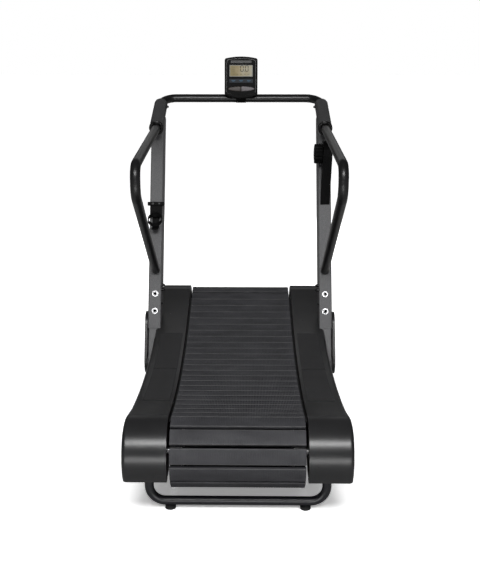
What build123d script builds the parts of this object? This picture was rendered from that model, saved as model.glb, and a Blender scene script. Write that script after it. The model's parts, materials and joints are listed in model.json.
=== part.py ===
from build123d import *
import os
from math import atan2, cos, degrees, pi, radians, sin, sqrt

# Curved manual treadmill, in millimetres.
# +X right as the runner faces the console, +Y front, +Z up; the origin is on the floor,
# under the centre of the outline. Three working planes are used besides the world planes:
# "chord" lies along the line between the two drum axles, "lean" along an upright,
# and "console" in the console's back face.

# ---- belt loop ----
PITCH = 60.0                                  # slat to slat along the belt
TOP_SLATS, REAR_SLATS, FRONT_SLATS, RETURN_SLATS = 23, 6, 6, 24
PHASE = -0.2                                  # slats stand this share of a pitch on along the loop
TOP_HALF_ANGLE = radians(13.7)                # half the arc of the running surface
CHORD_TILT = radians(3.9)                     # the front drum is higher than the rear one
REAR_AXLE_Y, REAR_AXLE_Z = -767.5, 244.0
SLAT_HALF, SLAT_WIDTH = 240.0, 58.0
SLAT_LOW, SLAT_HIGH = 3.0, 19.0               # slat faces above the belt's pitch line
WEB_HALF, WEB_DEPTH, WEB_THICK = 188.0, 20.0, 5.0
LINK_IN, LINK_OUT, LINK_HALF_THICK, LINK_LENGTH = 200.0, 238.0, 2.8, 59.0

# ---- rolling gear ----
AXLE_R, RUNNING_GAP = 12.5, 0.05
BELT_GAP = 0.5
ROLLER_R, ROLLER_BORE, ROLLER_STEP, ROLLERS_EACH_WAY = 14.0, 5.0, 0.0325, 6
FLYWHEEL_U, FLYWHEEL_W, FLYWHEEL_R = 470.0, -2.0, 72.0
DRIVE_R, DRIVEN_R, DRIVE_IN, DRIVE_OUT = 55.0, 22.0, 350.0, 360.0
YOKE_U, YOKE_W = 372.0, -52.0

# ---- frame ----
RAIL_IN, RAIL_OUT, RAIL_HIGH, RAIL_LOW, RAIL_REACH = 260.0, 300.0, -22.0, -66.0, 750.0
WALL = 3.0
PLATE_END_R, PLATE_RISE = 95.0, 6.0            # bearing plates: end discs, top edge above the pitch line
CROSS_MEMBERS = (-560.0, -280.0, 0.0, 280.0, 560.0)
FOOT_TUBE_R, FOOT_TUBE_Y, FOOT_TUBE_Z, FOOT_TUBE_HALF, FOOT_BEND = 17.0, -740.0, 30.0, 328.0, 60.0
FRONT_BAR_Y, FRONT_BAR_Z, FRONT_BAR_HALF = 600.0, 40.0, 330.0
WHEEL_R, WHEEL_Y, WHEEL_Z = 35.0, 668.0, 42.0
FOOT_PAD_R, FOOT_PAD_HIGH = 20.0, 9.0

# ---- covers ----
COVER_IN, SKIN, LIP = 250.0, 4.0, 27.0
COVER_BENDS = ((-840.0, 408.0), (-640.0, 400.0), (150.0, 391.0))    # outer face: (y, x) where it bends
COVER_REACH = 1000.0
REAR_CAP_R, MID_RISE, FRONT_CAP_R, EDGE_R = 131.4, 22.0, 138.4, 14.0
COVER_GAP = 0.4                               # each side of the joints between rail and caps
PAD_ZONES = ((-540.0, -163.0), (-157.0, 210.0))
PAD_IN_INSET, PAD_OUT_INSET, PAD_HIGH = 13.0, 31.0, 1.6

# ---- uprights and bars ----
UPRIGHT_X, UPRIGHT_WIDE, UPRIGHT_DEEP = 399.0, 60.0, 120.0
LEAN = radians(22.86)
LEAN_Y, LEAN_Z = 293.5, 469.0                 # a point of the rear face
UPRIGHT_LOW, UPRIGHT_TOP = -95.0, 950.0       # along the upright from that point
BAR_R, BAR_X, CLAMP_WALL = 20.0, 396.0, 2.0
SLEEVE_R = 32.5
SLEEVE_REAR, SLEEVE_FRONT = (539.5, 1280.8), (799.5, 1368.0)
CROSSBAR_BEND = 75.0
HANDRAIL_BACK_Y, HANDRAIL_TOP_Z, HANDRAIL_LOW_Z = -352.0, 1218.0, 1107.0
HANDRAIL_END = (363.0, 634.0)
RAIL_BENDS = (30.0, 55.0, 80.0)

# ---- bottle holder ----
EARS_Z, BAND_Z, REST_Z = 925.0, 866.0, 824.0
BOTTLE_R, BAND_OFFSET, BAND_TILT, BAND_HIGH = 31.0, 52.0, 30.0, 12.0
SCREW_R = 4.0

# ---- resistance dial ----
DIAL_R, DIAL_FRONT, DIAL_BACK, HOUSING_SKIN = 46.0, 345.0, 385.0, 3.5

# ---- console ----
CONSOLE_TILT = radians(10.0)
CONSOLE_Z, CONSOLE_HALF, CONSOLE_HIGH = 1392.0, 81.5, 204.0
BACK_DEEP, CONSOLE_DEEP = 16.0, 30.0
WINDOW_WIDE, WINDOW_HIGH, WINDOW_Y = 115.0, 57.0, 134.0
BUTTON_HALF, BUTTON_HIGH, BUTTON_Y, BUTTON_GAP = 66.0, 12.0, 46.0, 1.0


def solve_belt():
    """Return the pitch radii and the axle spacing that make the loop close on whole slats."""
    def drum_radius(low_angle):
        return REAR_SLATS * PITCH / (pi + TOP_HALF_ANGLE - low_angle)

    top_radius = TOP_SLATS * PITCH / (2 * TOP_HALF_ANGLE)
    low, high = 0.01, 0.3
    for _ in range(60):
        angle = (low + high) / 2
        span = 2 * sin(TOP_HALF_ANGLE) * (top_radius + drum_radius(angle))
        length = 2 * angle * (span / (2 * sin(angle)) + drum_radius(angle))
        if length < RETURN_SLATS * PITCH:
            low = angle
        else:
            high = angle
    drum = drum_radius(angle)
    return drum, top_radius, span, span / (2 * sin(angle)) + drum, angle


DRUM_R, TOP_R, SPAN, RETURN_R, RETURN_HALF_ANGLE = solve_belt()
MID_Y = REAR_AXLE_Y + SPAN / 2 * cos(CHORD_TILT)
MID_Z = REAR_AXLE_Z + SPAN / 2 * sin(CHORD_TILT)
TOP_CENTRE = (TOP_R + DRUM_R) * cos(TOP_HALF_ANGLE)
RETURN_CENTRE = (RETURN_R - DRUM_R) * cos(RETURN_HALF_ANGLE)
CROSSBAR_Y = REAR_CAP_R - REAR_AXLE_Y - BAR_R - CLAMP_WALL
SLEEVE_RISE = atan2(SLEEVE_FRONT[1] - SLEEVE_REAR[1], SLEEVE_FRONT[0] - SLEEVE_REAR[0])
SLEEVE_LENGTH = (SLEEVE_FRONT[0] - SLEEVE_REAR[0]) / cos(SLEEVE_RISE)
CROSSBAR_Z = SLEEVE_REAR[1] + (CROSSBAR_Y - SLEEVE_REAR[0]) * sin(SLEEVE_RISE) / cos(SLEEVE_RISE)

NODES = {}


def side(x):
    """World side plane at x: local x is +Y, local y is +Z."""
    return Plane(origin=(x, 0, 0), x_dir=(0, 1, 0), z_dir=(1, 0, 0))


def chord(x):
    """Side plane along the line between the axles, from its middle."""
    return Plane(origin=(x, MID_Y, MID_Z), x_dir=(0, cos(CHORD_TILT), sin(CHORD_TILT)), z_dir=(1, 0, 0))


def lean(x):
    """Side plane of an upright: local x is its depth from the rear face, local y runs up it."""
    return Plane(origin=(x, LEAN_Y, LEAN_Z), x_dir=(0, cos(LEAN), -sin(LEAN)), z_dir=(1, 0, 0))


def sleeve_plane(distance, sign):
    """Plane across a head sleeve, at a distance from its rear end."""
    y = SLEEVE_REAR[0] + distance * cos(SLEEVE_RISE)
    z = SLEEVE_REAR[1] + distance * sin(SLEEVE_RISE)
    return Plane(origin=(sign * BAR_X, y, z), x_dir=(1, 0, 0), z_dir=(0, cos(SLEEVE_RISE), sin(SLEEVE_RISE)))


def console(depth=0.0):
    """Console plane at a depth towards the runner: local y runs up the console."""
    back_y = CROSSBAR_Y - BAR_R - 2.0
    normal = (0, -cos(CONSOLE_TILT), sin(CONSOLE_TILT))
    origin = (0, back_y + depth * normal[1], CONSOLE_Z + depth * normal[2])
    return Plane(origin=origin, x_dir=(1, 0, 0), z_dir=normal)


def slab(plane, sketch, x0, x1):
    """Extrude a side-view sketch between two x positions."""
    return extrude(plane(x0) * sketch, amount=x1 - x0)


def block(x0, x1, y0, y1, z0, z1):
    return Pos((x0 + x1) / 2, (y0 + y1) / 2, (z0 + z1) / 2) * Box(x1 - x0, y1 - y0, z1 - z0)


def rect(a0, a1, b0, b1):
    return Pos((a0 + a1) / 2, (b0 + b1) / 2) * Rectangle(a1 - a0, b1 - b0)


def hull(circles):
    """Filled outline round two circles, each given as (x, y, radius)."""
    outline = Sketch() + [Pos(x, y) * Circle(radius) for x, y, radius in circles]
    return make_hull(outline.edges())


def tube(path, radius, bore=0.0):
    """Round tube along a path."""
    section = Circle(radius) - Circle(bore) if bore else Circle(radius)
    return sweep((path ^ 0) * section, path=path)


def both(shape):
    """The shape and its mirror image on the other side."""
    return [shape, mirror(shape, about=Plane.YZ)]


def add(name, *shapes):
    """Keep shapes as the solids of one node."""
    solids = NODES.setdefault(name, [])
    for shape in shapes:
        solids.extend(shape.solids())


def add_sides(stem, shape):
    """Keep a right-hand shape, and its mirror image, as two nodes."""
    add(stem + "_right", shape)
    add(stem + "_left", mirror(shape, about=Plane.YZ))


def belt_places():
    """Yield (run name, pitch-line point, direction of the path, turn per slat) for each slat."""
    drum_step = PITCH / DRUM_R
    for i in range(TOP_SLATS):
        angle = -TOP_HALF_ANGLE + (i + 0.5 + PHASE) * PITCH / TOP_R
        yield "top", (TOP_R * sin(angle), TOP_CENTRE - TOP_R * cos(angle)), angle, 0
    for i in range(FRONT_SLATS):
        angle = TOP_HALF_ANGLE - (i + 0.5 + PHASE) * drum_step
        yield "front", (SPAN / 2 - DRUM_R * sin(angle), DRUM_R * cos(angle)), angle, drum_step
    for i in range(RETURN_SLATS):
        angle = RETURN_HALF_ANGLE - (i + 0.5 + PHASE) * PITCH / RETURN_R
        yield "return", (RETURN_R * sin(angle), RETURN_CENTRE - RETURN_R * cos(angle)), angle + pi, 0
    for i in range(REAR_SLATS):
        angle = pi - RETURN_HALF_ANGLE - (i + 0.5 + PHASE) * drum_step
        yield "rear", (-SPAN / 2 - DRUM_R * sin(angle), DRUM_R * cos(angle)), angle, drum_step


def make_belt():
    """Slats, and the two rubber belts cut into one link per slat."""
    plate = rect(-SLAT_WIDTH / 2, SLAT_WIDTH / 2, SLAT_LOW, SLAT_HIGH)
    plate = fillet(plate.vertices().group_by(Axis.Y)[-1], 3.0)
    web = rect(-WEB_THICK / 2, WEB_THICK / 2, -WEB_DEPTH, SLAT_LOW + 1.0)
    straight_link = rect(-LINK_LENGTH / 2, LINK_LENGTH / 2, -LINK_HALF_THICK, LINK_HALF_THICK)
    for run, (u, w), angle, turn in belt_places():
        heading = angle + CHORD_TILT
        y = MID_Y + u * cos(CHORD_TILT) - w * sin(CHORD_TILT)
        z = MID_Z + u * sin(CHORD_TILT) + w * cos(CHORD_TILT)

        def across(x):
            return Plane(origin=(x, y, z), x_dir=(0, cos(heading), sin(heading)), z_dir=(1, 0, 0))

        slat = slab(across, plate, -SLAT_HALF, SLAT_HALF) + slab(across, web, -WEB_HALF, WEB_HALF)
        add("slats_" + run, slat)
        link = straight_link
        if turn:
            ring = Circle(DRUM_R + LINK_HALF_THICK) - Circle(DRUM_R - LINK_HALF_THICK)
            half = LINK_LENGTH / 2 / DRUM_R
            reach = 2 * DRUM_R
            wedge = Polyline((0, 0), (-reach * sin(half), reach * cos(half)),
                             (reach * sin(half), reach * cos(half)), close=True)
            link = Pos(0, -DRUM_R) * (ring & make_face(wedge))
        add("links_" + run, *both(slab(across, link, LINK_IN, LINK_OUT)))


def make_drums():
    """Axles, belt pulleys, pillow blocks and the drive to the flywheel."""
    rim = DRUM_R - LINK_HALF_THICK - BELT_GAP
    for name, u, right_end in (("rear", -SPAN / 2, RAIL_OUT + 4), ("front", SPAN / 2, DRIVE_OUT + 1)):
        centre = Pos(u, 0)
        add(name + "_axle", slab(chord, centre * Circle(AXLE_R), -RAIL_OUT - 4, right_end))
        wheel = slab(chord, centre * (Circle(rim) - Circle(rim - 10)), LINK_IN, LINK_OUT)
        wheel += slab(chord, centre * (Circle(rim - 5) - Circle(AXLE_R)), 216, 222)
        wheel += slab(chord, centre * (Circle(30) - Circle(AXLE_R)), LINK_IN, LINK_OUT)
        add(name + "_pulleys", *both(wheel))
        housing = hull(((u, 0, 21), (u, RAIL_HIGH + 12, 12)))
        housing += rect(u - 38, u + 38, RAIL_HIGH, RAIL_HIGH + 12)
        bearing = slab(chord, housing - centre * Circle(AXLE_R + RUNNING_GAP), RAIL_IN + 3, RAIL_OUT - 2)
        add("pillow_blocks", *both(bearing))
    drive = Pos(SPAN / 2, 0) * (Circle(DRIVE_R) - Circle(AXLE_R))
    add("front_pulleys", slab(chord, drive, DRIVE_IN, DRIVE_OUT))


def make_flywheel():
    """Flywheel, its bracket on the right rail, the drive belt and the magnet yoke."""
    centre = Pos(FLYWHEEL_U, FLYWHEEL_W)
    pivot = Pos(YOKE_U, YOKE_W)
    wheel = slab(chord, centre * Circle(FLYWHEEL_R), 311, 343)
    wheel -= slab(chord, centre * (Circle(FLYWHEEL_R - 16) - Circle(24)), 331, 344)
    wheel += slab(chord, centre * Circle(10), RAIL_OUT + 1, DRIVE_OUT + 1)
    wheel += slab(chord, centre * Circle(DRIVEN_R), DRIVE_IN, DRIVE_OUT)
    add("flywheel", wheel)
    plate = hull(((FLYWHEEL_U, FLYWHEEL_W, 30), (YOKE_U, YOKE_W, 13)))
    bracket = slab(chord, plate, RAIL_OUT, RAIL_OUT + 4) + slab(chord, centre * Circle(20), RAIL_OUT, 310)
    bracket -= slab(chord, centre * Circle(10 + RUNNING_GAP), RAIL_OUT + 0.5, 312)
    bracket += slab(chord, pivot * Circle(5), RAIL_OUT, 324)
    add("flywheel_bracket", bracket)
    outer = hull(((SPAN / 2, 0, DRIVE_R + 3), (FLYWHEEL_U, FLYWHEEL_W, DRIVEN_R + 3)))
    inner = hull(((SPAN / 2, 0, DRIVE_R + 0.5), (FLYWHEEL_U, FLYWHEEL_W, DRIVEN_R + 0.5)))
    add("drive_belt", slab(chord, outer - inner, DRIVE_IN + 1, DRIVE_OUT - 1))
    reach = 2 * FLYWHEEL_R
    wedge = make_face(Polyline((0, 0), (-reach, reach * 0.577), (-reach, -reach * 0.577), close=True))
    cheek = centre * ((Circle(87) - Circle(52)) & wedge)
    bridge = centre * ((Circle(87) - Circle(81)) & wedge)
    yoke = slab(chord, cheek, 306, 309) + slab(chord, cheek, 345, 348) + slab(chord, bridge, 306, 348)
    yoke += slab(chord, hull(((396, -47, 5), (YOKE_U, YOKE_W, 11))), 306, 320)
    yoke -= slab(chord, pivot * Circle(5 + RUNNING_GAP), 306, 325)
    add("magnet_yoke", yoke)


def make_rails():
    """Side rails, cross members, bearing plates and the guide rollers under the belts."""
    box = rect(-RAIL_REACH, RAIL_REACH, RAIL_LOW, RAIL_HIGH)
    hollow = rect(-RAIL_REACH - 1, RAIL_REACH + 1, RAIL_LOW + WALL, RAIL_HIGH - WALL)
    rail = slab(chord, box, RAIL_IN, RAIL_OUT) - slab(chord, hollow, RAIL_IN + WALL, RAIL_OUT - WALL)
    tab = block(RAIL_OUT, FOOT_TUBE_HALF - FOOT_TUBE_R, FOOT_TUBE_Y - 16, FOOT_TUBE_Y + 16, 184, 220)
    add_sides("side_rail", rail + tab)
    for u in CROSS_MEMBERS:
        ring = rect(u - 20, u + 20, RAIL_LOW + 4, RAIL_HIGH)
        ring -= rect(u - 20 + WALL, u + 20 - WALL, RAIL_LOW + 4 + WALL, RAIL_HIGH - WALL)
        add("cross_members", slab(chord, ring, -COVER_IN - 4.5, COVER_IN + 4.5))
    end_u = SPAN / 2 - 70
    top = [(u, TOP_CENTRE - sqrt((TOP_R - PLATE_RISE) ** 2 - u * u)) for u in (end_u, 0, -end_u)]
    edge = ThreePointArc(*top) + Polyline(top[2], (-end_u, RAIL_LOW), (end_u, RAIL_LOW), top[0])
    plate = make_face(edge)
    for u in (-SPAN / 2, SPAN / 2):
        plate += hull(((u, 0, PLATE_END_R), (u * 0.9, 0, 50)))
        plate -= Pos(u, 0) * Circle(AXLE_R + 4)
    add_sides("bearing_plate", slab(chord, plate, COVER_IN + 4.5, RAIL_IN))
    for i in range(-ROLLERS_EACH_WAY, ROLLERS_EACH_WAY + 1):
        radius = TOP_R + LINK_HALF_THICK + BELT_GAP + ROLLER_R
        centre = Pos(radius * sin(i * ROLLER_STEP), TOP_CENTRE - radius * cos(i * ROLLER_STEP))
        roller = centre * (Circle(ROLLER_R) - Circle(ROLLER_BORE + RUNNING_GAP))
        add("guide_rollers", *both(slab(chord, roller, 211, 227)))
        add("guide_rollers", *both(slab(chord, centre * Circle(ROLLER_BORE), 209, COVER_IN + 4.5)))


def make_feet():
    """Rear lifting tube, front bar with its legs, transport wheels and levelling feet."""
    top_z = 216.0
    corners = [(-FOOT_TUBE_HALF, FOOT_TUBE_Y, top_z), (-FOOT_TUBE_HALF, FOOT_TUBE_Y, FOOT_TUBE_Z),
               (FOOT_TUBE_HALF, FOOT_TUBE_Y, FOOT_TUBE_Z), (FOOT_TUBE_HALF, FOOT_TUBE_Y, top_z)]
    rear = tube(FilletPolyline(*corners, radius=FOOT_BEND), FOOT_TUBE_R)
    for x in (-250, 250):
        rear -= Pos(x, FOOT_TUBE_Y, FOOT_TUBE_Z - 5) * Cylinder(6, 40)
    add("rear_foot_tube", rear)
    y, z = FRONT_BAR_Y, FRONT_BAR_Z
    bar = block(-FRONT_BAR_HALF, FRONT_BAR_HALF, y - 25, y + 25, z - 20, z + 20)
    leg_top = (y - MID_Y) * sin(CHORD_TILT) / cos(CHORD_TILT) + MID_Z
    leg = block(RAIL_IN, RAIL_OUT, y - 20, y + 20, z + 20, leg_top)
    leg &= slab(chord, rect(0, SPAN, -SPAN, RAIL_LOW), RAIL_IN, RAIL_OUT)
    front = bar + both(leg)
    for x in (-270, 270):
        front -= Pos(x, y, z - 5) * Cylinder(6, 46)
    for x in (304, 344):
        cheek = slab(side, hull(((WHEEL_Y, WHEEL_Z, 14), (y + 20, z, 18))), x, x + 5)
        front += both(cheek)
    front += both(slab(side, Pos(WHEEL_Y, WHEEL_Z) * Circle(6), 305, 348))
    front += both(slab(side, rect(y + 24, y + 27, z - 18, z + 18), 304, 349))
    add("front_foot_bar", front)
    ring = Pos(WHEEL_Y, WHEEL_Z) * (Circle(WHEEL_R) - Circle(6 + RUNNING_GAP))
    wheel = slab(side, ring, 312, 340)
    add_sides("wheel", wheel)
    for name, x, foot_y in (("rear", 250, FOOT_TUBE_Y), ("front", 270, FRONT_BAR_Y)):
        pad = Pos(x, foot_y, FOOT_PAD_HIGH / 2) * Cylinder(FOOT_PAD_R, FOOT_PAD_HIGH)
        foot = pad + Pos(x, foot_y, 20) * Cylinder(5.95, 40 - FOOT_PAD_HIGH)
        add_sides("foot_" + name, foot)


def cover_side(inset, low):
    """Side outline of the covers: an arc over the run and a round end about each drum."""
    rear_r, front_r = REAR_CAP_R - inset, FRONT_CAP_R - inset
    rear_u, front_u = -SPAN / 2 + rear_r * sin(TOP_HALF_ANGLE), SPAN / 2 - front_r * sin(TOP_HALF_ANGLE)
    rear_top = (rear_u, rear_r * cos(TOP_HALF_ANGLE))
    front_top = (front_u, front_r * cos(TOP_HALF_ANGLE))
    crown = ThreePointArc(front_top, (0, TOP_CENTRE - TOP_R + MID_RISE - inset), rear_top)
    middle = make_face(crown + Polyline(rear_top, (rear_u, low), (front_u, low), front_top))
    ends = Pos(-SPAN / 2, 0) * Circle(rear_r) + Pos(SPAN / 2, 0) * Circle(front_r)
    return (middle + ends) & rect(-SPAN, SPAN, low, SPAN), rear_u, front_u


def cover_out(y):
    """Outer face of the right cover at a place along the machine."""
    (y0, x0), (y1, x1), (y2, x2) = COVER_BENDS
    if y < y1:
        return x0 + (x1 - x0) * max(y - y0, 0) / (y1 - y0)
    return x1 + (x2 - x1) * min((y - y1) / (y2 - y1), 1)


def cover_form(inset, low):
    """Solid form of a right-hand cover, inset all round; the inner face keeps its place."""
    outline, _, _ = cover_side(inset, low)
    widest, narrowest = COVER_BENDS[0][1], COVER_BENDS[-1][1]
    form = slab(chord, outline, COVER_IN + inset, widest + 10)
    corners = [(0, -COVER_REACH), (widest - inset, -COVER_REACH)]
    corners += [(x - inset, y) for y, x in COVER_BENDS]
    corners += [(narrowest - inset, COVER_REACH), (0, COVER_REACH)]
    plan = make_face(Polyline(*corners, close=True))
    bends = [v for v in plan.vertices() if abs(v.Y) < COVER_REACH - 1]
    form &= extrude(fillet(bends, 250), amount=COVER_REACH)
    rim = [e for e in form.edges() if e.bounding_box().min.X > narrowest - inset - 1
           and (chord(0).to_local_coords(e.center())).Y > low + 30]
    return fillet(rim, EDGE_R - inset) if inset < EDGE_R else form


def make_covers():
    """Foot rails with their round ends, notched for the uprights, and the grip pads on them."""
    shell = cover_form(0, RAIL_LOW) - cover_form(SKIN, RAIL_LOW - 20)
    opening, _, _ = cover_side(LIP, RAIL_LOW - 20)
    shell -= slab(chord, opening, COVER_IN - 1, COVER_IN + SKIN + 1)
    shell -= upright_box(UPRIGHT_WIDE + 1, UPRIGHT_DEEP + 1, 6, -450, 300)
    low_side, rear_u, front_u = cover_side(0, RAIL_LOW)
    bands = (("foot_rail", rear_u + COVER_GAP, front_u - COVER_GAP), ("rear_cap", -SPAN, rear_u - COVER_GAP),
             ("front_cap", front_u + COVER_GAP, SPAN))
    for stem, u0, u1 in bands:
        add_sides(stem, shell & slab(chord, rect(u0, u1, -300, 300), 0, 500))
    high_side, _, _ = cover_side(-PAD_HIGH, RAIL_LOW)
    for y0, y1 in PAD_ZONES:
        inner, outer = COVER_IN + PAD_IN_INSET, [(cover_out(y) - PAD_OUT_INSET, y) for y in (y0, y1)]
        plan = Polyline((inner, y0), outer[0], outer[1], (inner, y1), close=True)
        pad = slab(chord, high_side - low_side, COVER_IN, COVER_BENDS[0][1])
        pad &= extrude(make_face(plan), amount=COVER_REACH)
        pad &= slab(chord, rect(-SPAN, SPAN, 0, 300), COVER_IN, COVER_BENDS[0][1])
        add("grip_pads", *both(pad))


def lean_section(s):
    """Plane across the right upright, at a distance up it: local y is the depth."""
    origin = (UPRIGHT_X, LEAN_Y + s * sin(LEAN), LEAN_Z + s * cos(LEAN))
    return Plane(origin=origin, x_dir=(1, 0, 0), z_dir=(0, sin(LEAN), cos(LEAN)))


def upright_box(wide, deep, corner, s0, s1):
    section = Pos(0, UPRIGHT_DEEP / 2) * RectangleRounded(wide, deep, corner)
    return extrude(lean_section(s0) * section, amount=s1 - s0)


def make_uprights():
    """Leaning uprights, the posts that they slide over, and their brackets and bolts."""
    upright = upright_box(UPRIGHT_WIDE, UPRIGHT_DEEP, 6, UPRIGHT_LOW, UPRIGHT_TOP)
    upright -= upright_box(UPRIGHT_WIDE - 6, UPRIGHT_DEEP - 6, 4, UPRIGHT_LOW - 1, UPRIGHT_TOP + 1)
    above = Polyline((SLEEVE_REAR[0] - 300, SLEEVE_REAR[1] - 300 * sin(SLEEVE_RISE) / cos(SLEEVE_RISE)),
                     (SLEEVE_FRONT[0] + 300, SLEEVE_FRONT[1] + 300 * sin(SLEEVE_RISE) / cos(SLEEVE_RISE)),
                     (SLEEVE_FRONT[0] + 300, 1800), (SLEEVE_REAR[0] - 300, 1800), close=True)
    upright -= slab(side, make_face(above), 300, 500)
    upright -= extrude(sleeve_plane(-80, 1) * Circle(SLEEVE_R), amount=SLEEVE_LENGTH + 160)
    add_sides("upright", upright)
    post = upright_box(52, 112, 4, -330, 120) - upright_box(44, 104, 3, -331, 121)
    arm = slab(chord, rect(262, 384, RAIL_LOW - 46, RAIL_LOW), RAIL_IN + 2, UPRIGHT_X + 30)
    arm -= slab(chord, rect(266, 380, RAIL_LOW - 42, RAIL_LOW - 4), RAIL_IN + 1, UPRIGHT_X + 26)
    post &= slab(chord, rect(-SPAN, SPAN, RAIL_LOW, SPAN), 300, 500)
    add("upright_posts", *both(post), *both(arm))
    guard = Pos(60, -154) * RectangleRounded(148, 288, 60)
    plate = slab(lean, guard, UPRIGHT_X + 31, UPRIGHT_X + 42)
    plate -= slab(lean, offset(guard, -4), UPRIGHT_X + 30, UPRIGHT_X + 38)
    add("bracket_covers", *both(plate))
    for s in (67, -14):
        seat = Plane(origin=lean(397).from_local_coords((0, s, 0)), x_dir=(1, 0, 0),
                     z_dir=(0, -cos(LEAN), sin(LEAN)))
        bolt = extrude(seat * (Circle(14) - Circle(6)), amount=2) + extrude(seat * Circle(9), amount=6)
        bolt -= extrude(seat.offset(3) * RegularPolygon(4.5, 6), amount=5)
        add("upright_bolts", *both(bolt))
    inner_x = UPRIGHT_X - UPRIGHT_WIDE / 2
    for s, radius, reach in ((110, 8, 16), (88, 8, 16), (23, 6, 6)):
        add("upright_bolts", *both(slab(lean, Pos(16, s) * Circle(radius), inner_x - reach, inner_x)))


def make_bars():
    """Head sleeves, crossbar and handrails."""
    sleeve = extrude(sleeve_plane(0, 1) * (Circle(SLEEVE_R) - Circle(BAR_R)), amount=SLEEVE_LENGTH)
    add("head_sleeves", *both(sleeve))
    collar = extrude(sleeve_plane(-14, 1) * (Circle(SLEEVE_R + 1.5) - Circle(BAR_R + 3)), amount=14)
    add("sleeve_collars", *both(collar))
    inner = sleeve_plane(SLEEVE_LENGTH - 70, 1).origin
    path = FilletPolyline((-BAR_X, inner.Y, inner.Z), (-BAR_X, CROSSBAR_Y, CROSSBAR_Z),
                          (BAR_X, CROSSBAR_Y, CROSSBAR_Z), (BAR_X, inner.Y, inner.Z), radius=CROSSBAR_BEND)
    add("crossbar", tube(path, BAR_R))
    clamp_plane = Plane(origin=sleeve_plane(SLEEVE_LENGTH - 28, 1).origin, x_dir=(0, 1, 0), z_dir=(-1, 0, 0))
    bolt = extrude(clamp_plane.offset(SLEEVE_R - 3) * Circle(8), amount=5)
    bolt += extrude(clamp_plane.offset(SLEEVE_R + 2) * Circle(5), amount=6)
    ring = extrude(sleeve_plane(0, 1) * Circle(SLEEVE_R), amount=SLEEVE_LENGTH)
    add("clamp_bolts", *both(bolt - ring))
    start, corner = sleeve_plane(70, 1).origin, sleeve_plane(-9, 1).origin
    end_y, end_z = HANDRAIL_END
    route = [(BAR_X, start.Y, start.Z), (BAR_X, corner.Y, corner.Z), (BAR_X, HANDRAIL_BACK_Y, HANDRAIL_TOP_Z),
             (BAR_X, HANDRAIL_BACK_Y, HANDRAIL_LOW_Z), (BAR_X, end_y, end_z)]
    rail = tube(FilletPolyline(*route, radius=RAIL_BENDS), BAR_R)
    stub = Plane(origin=(BAR_X, end_y, end_z), x_dir=(1, 0, 0),
                 z_dir=(0, end_y - HANDRAIL_BACK_Y, end_z - HANDRAIL_LOW_Z))
    rail += extrude(stub * Circle(BAR_R), amount=40)
    rail -= upright_box(UPRIGHT_WIDE, UPRIGHT_DEEP + 300, 0.5, -200, 1000).moved(
        Location((0, 150 * cos(LEAN), -150 * sin(LEAN))))
    add_sides("handrail", rail)


def make_console():
    """Console halves, window, display board, buttons and the clamp round the crossbar."""
    low, high, side_x = 17.0, CONSOLE_HIGH - 10.0, CONSOLE_HALF
    outline = ThreePointArc((-side_x, low), (0, 0), (side_x, low))
    outline += Line((side_x, low), (side_x, high))
    outline += ThreePointArc((side_x, high), (0, CONSOLE_HIGH), (-side_x, high))
    outline += Line((-side_x, high), (-side_x, low))
    face = make_face(outline)
    face = fillet(face.vertices(), 11)
    window = Pos(0, WINDOW_Y) * Rectangle(WINDOW_WIDE, WINDOW_HIGH)
    lens = Pos(0, BUTTON_Y) * Ellipse(BUTTON_HALF + BUTTON_GAP, BUTTON_HIGH + BUTTON_GAP)
    back = extrude(console() * face, amount=BACK_DEEP)
    back -= extrude(console(3) * offset(face, -3), amount=BACK_DEEP)
    add("console_back", back)
    front = extrude(console(BACK_DEEP) * face, amount=CONSOLE_DEEP - BACK_DEEP)
    front_face = front.faces().sort_by(Axis((0, 0, 0), console().z_dir))[-1]
    front = fillet(front_face.edges(), 3)
    front -= extrude(console(BACK_DEEP - 1) * (window + lens), amount=CONSOLE_DEEP)
    add("console_front", front)
    glass = Pos(0, WINDOW_Y) * Rectangle(WINDOW_WIDE - 0.4, WINDOW_HIGH - 0.4)
    add("console_window", extrude(console(26) * glass, amount=2.4))
    board = extrude(console(8) * Pos(0, 105) * Rectangle(130, 150), amount=1.6)
    module = extrude(console(9.6) * Pos(0, WINDOW_Y) * Rectangle(110, 52), amount=16)
    add("display_board", board + module)
    cap = Pos(0, BUTTON_Y) * Ellipse(BUTTON_HALF, BUTTON_HIGH)
    half = Pos(BUTTON_HALF / 2 + BUTTON_GAP, BUTTON_Y) * Rectangle(BUTTON_HALF, 3 * BUTTON_HIGH)
    add_sides("button", extrude(console(22) * (cap & half), amount=9.5))
    ring = Pos(CROSSBAR_Y, CROSSBAR_Z) * (Circle(BAR_R + CLAMP_WALL) - Circle(BAR_R))
    clamp = slab(side, ring, -25, 25) - extrude(console() * face, amount=40)
    add("console_clamp", clamp)


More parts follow.
